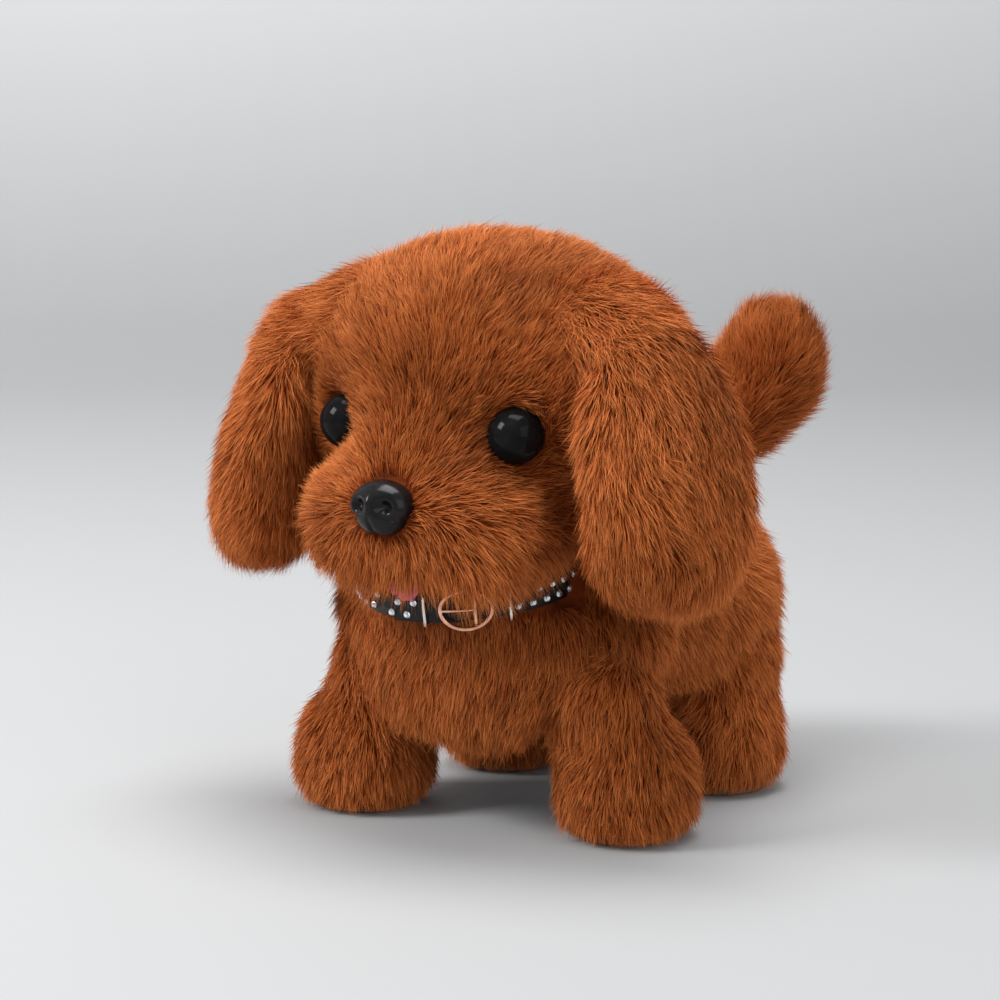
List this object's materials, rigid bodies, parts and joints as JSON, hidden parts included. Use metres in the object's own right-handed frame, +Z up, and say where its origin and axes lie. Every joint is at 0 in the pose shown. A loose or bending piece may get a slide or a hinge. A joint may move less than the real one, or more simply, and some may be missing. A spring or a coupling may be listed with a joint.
{
  "type": "walking plush puppy",
  "caption": "Battery driven plush puppy that walks, nods, opens its chin and wags its tail, with a studded collar and a belly battery door.",
  "frame": {"origin": "on the floor under the middle of the whole puppy", "axes": "+Z up, the puppy faces -Y, +X is its left side"},
  "size_m": [0.1592, 0.208, 0.168],
  "materials": {
    "abs_ivory": "matt moulded housing plastic",
    "base_plastic": "fine spark-eroded black-brown plastic",
    "switch_white": "smooth",
    "screw_steel": "plain zinc plated",
    "contact_steel": "nickel plated",
    "cell_jacket": "plain dark cell jacket",
    "board_green": "solder mask",
    "speaker_grey": "satin",
    "motor_can": "satin",
    "pinion_brass": "plain",
    "acetal_white": "smooth acetal",
    "linkage_orange": "smooth acetal",
    "sole_rubber": "matt",
    "plush_brown": "long pile plush, 8 to 10 mm, red-brown with paler tips",
    "eye_black": "polished dome",
    "nose_black": "polished",
    "tongue_pink": "short felt",
    "strap_black": "smooth black artificial leather",
    "buckle_gold": "polished rose gold plating",
    "loop_silver": "polished",
    "stud_crystal": "clear faceted crystal with silver back"
  },
  "bodies": {
    "chassis": {"chassis_left": "abs_ivory", "chassis_right": "abs_ivory", "chassis_screws": "screw_steel", "base_plate": "base_plastic", "batteries": "cell_jacket", "battery_contacts": "contact_steel", "pcb": "board_green", "speaker": "speaker_grey", "switch_body": "base_plastic", "motor": "motor_can", "gear_shafts": "screw_steel", "hip_screws": "screw_steel", "neck_bracket": "abs_ivory", "neck_pin": "screw_steel", "body_plush": "plush_brown", "collar_strap": "strap_black", "collar_buckle": "buckle_gold", "collar_loops": "loop_silver", "collar_studs": "stud_crystal"},
    "door": {"battery_door": "base_plastic", "door_screw": "screw_steel"},
    "switch": {"switch_knob": "switch_white"},
    "pinion": {"motor_pinion": "pinion_brass"},
    "stage_1": {"gear_stage_1": "acetal_white"},
    "stage_2": {"gear_stage_2": "acetal_white"},
    "crank": {"crankshaft": "screw_steel", "crank_gear": "acetal_white", "crank_left": "linkage_orange", "crank_right": "linkage_orange"},
    "left_bar": {"bar_left": "linkage_orange"},
    "right_bar": {"bar_right": "linkage_orange"},
    "front_left_leg": {"leg_front_left": "linkage_orange", "sole_front_left": "sole_rubber", "paw_front_left": "plush_brown"},
    "front_right_leg": {"leg_front_right": "linkage_orange", "sole_front_right": "sole_rubber", "paw_front_right": "plush_brown"},
    "rear_left_leg": {"leg_rear_left": "linkage_orange", "sole_rear_left": "sole_rubber", "paw_rear_left": "plush_brown"},
    "rear_right_leg": {"leg_rear_right": "linkage_orange", "sole_rear_right": "sole_rubber", "paw_rear_right": "plush_brown"},
    "head": {"skull_left": "abs_ivory", "skull_right": "abs_ivory", "head_plush": "plush_brown", "ear_left": "plush_brown", "ear_right": "plush_brown", "eye_left": "eye_black", "eye_right": "eye_black", "eye_washers": "acetal_white", "nose": "nose_black", "nose_washer": "acetal_white"},
    "jaw": {"jaw_frame": "abs_ivory", "chin_plush": "plush_brown", "tongue": "tongue_pink"},
    "tail": {"tail_arm": "abs_ivory", "tail_plush": "plush_brown"}
  },
  "joints": [
    {"name": "front_left_hip", "type": "hinge", "parent": "chassis", "child": "front_left_leg", "pos_m": [0.028, -0.043, 0.052], "axis": [1, 0, 0], "range_deg": [-17.51, 6.47]},
    {"name": "front_right_hip", "type": "hinge", "parent": "chassis", "child": "front_right_leg", "pos_m": [-0.028, -0.043, 0.052], "axis": [1, 0, 0], "range_deg": [-6.47, 17.51]},
    {"name": "rear_left_hip", "type": "hinge", "parent": "chassis", "child": "rear_left_leg", "pos_m": [0.028, 0.022, 0.052], "axis": [1, 0, 0], "range_deg": [-17.51, 6.47]},
    {"name": "rear_right_hip", "type": "hinge", "parent": "chassis", "child": "rear_right_leg", "pos_m": [-0.028, 0.022, 0.052], "axis": [1, 0, 0], "range_deg": [-6.47, 17.51]},
    {"name": "left_bar_slide", "type": "slide", "parent": "chassis", "child": "left_bar", "axis": [0, 1, 0], "range_m": [-0.00113, 0.00306]},
    {"name": "right_bar_slide", "type": "slide", "parent": "chassis", "child": "right_bar", "axis": [0, 1, 0], "range_m": [-0.00306, 0.00113]},
    {"name": "crank_spin", "type": "hinge", "parent": "chassis", "child": "crank", "pos_m": [0, -0.008, 0.062], "axis": [1, 0, 0], "continuous": true},
    {"name": "stage_2_spin", "type": "hinge", "parent": "chassis", "child": "stage_2", "pos_m": [0, -0.0205, 0.062], "axis": [1, 0, 0], "continuous": true},
    {"name": "stage_1_spin", "type": "hinge", "parent": "chassis", "child": "stage_1", "pos_m": [0, -0.033, 0.062], "axis": [1, 0, 0], "continuous": true},
    {"name": "pinion_spin", "type": "hinge", "parent": "chassis", "child": "pinion", "pos_m": [0, -0.0455, 0.062], "axis": [1, 0, 0], "continuous": true},
    {"name": "head_nod", "type": "hinge", "parent": "chassis", "child": "head", "pos_m": [0, -0.04, 0.088], "axis": [-1, 0, 0], "range_deg": [0, 12]},
    {"name": "jaw_open", "type": "hinge", "parent": "head", "child": "jaw", "pos_m": [0, -0.06, 0.09], "axis": [1, 0, 0], "range_deg": [0, 7]},
    {"name": "tail_wag", "type": "hinge", "parent": "chassis", "child": "tail", "pos_m": [0.007, 0.05, 0.064], "axis": [0, 0, 1], "range_deg": [-22, 22]},
    {"name": "switch_slide", "type": "slide", "parent": "chassis", "child": "switch", "axis": [0, 1, 0], "range_m": [0, 0.006]},
    {"name": "door_hinge", "type": "hinge", "parent": "chassis", "child": "door", "pos_m": [0, 0.0308, 0.0304], "axis": [1, 0, 0], "range_deg": [0, 30]}
  ],
  "couplings": [
    {"joint": "front_right_hip", "follows": "front_left_hip", "ratio": -1},
    {"joint": "rear_left_hip", "follows": "front_left_hip", "ratio": 1},
    {"joint": "rear_right_hip", "follows": "front_left_hip", "ratio": -1},
    {"joint": "left_bar_slide", "follows": "front_left_hip", "m_per_rad": -0.01},
    {"joint": "right_bar_slide", "follows": "front_left_hip", "m_per_rad": 0.01},
    {"joint": "stage_2_spin", "follows": "crank_spin", "ratio": -2.5714},
    {"joint": "stage_1_spin", "follows": "crank_spin", "ratio": 6.6122},
    {"joint": "pinion_spin", "follows": "crank_spin", "ratio": -17.003}
  ]
}
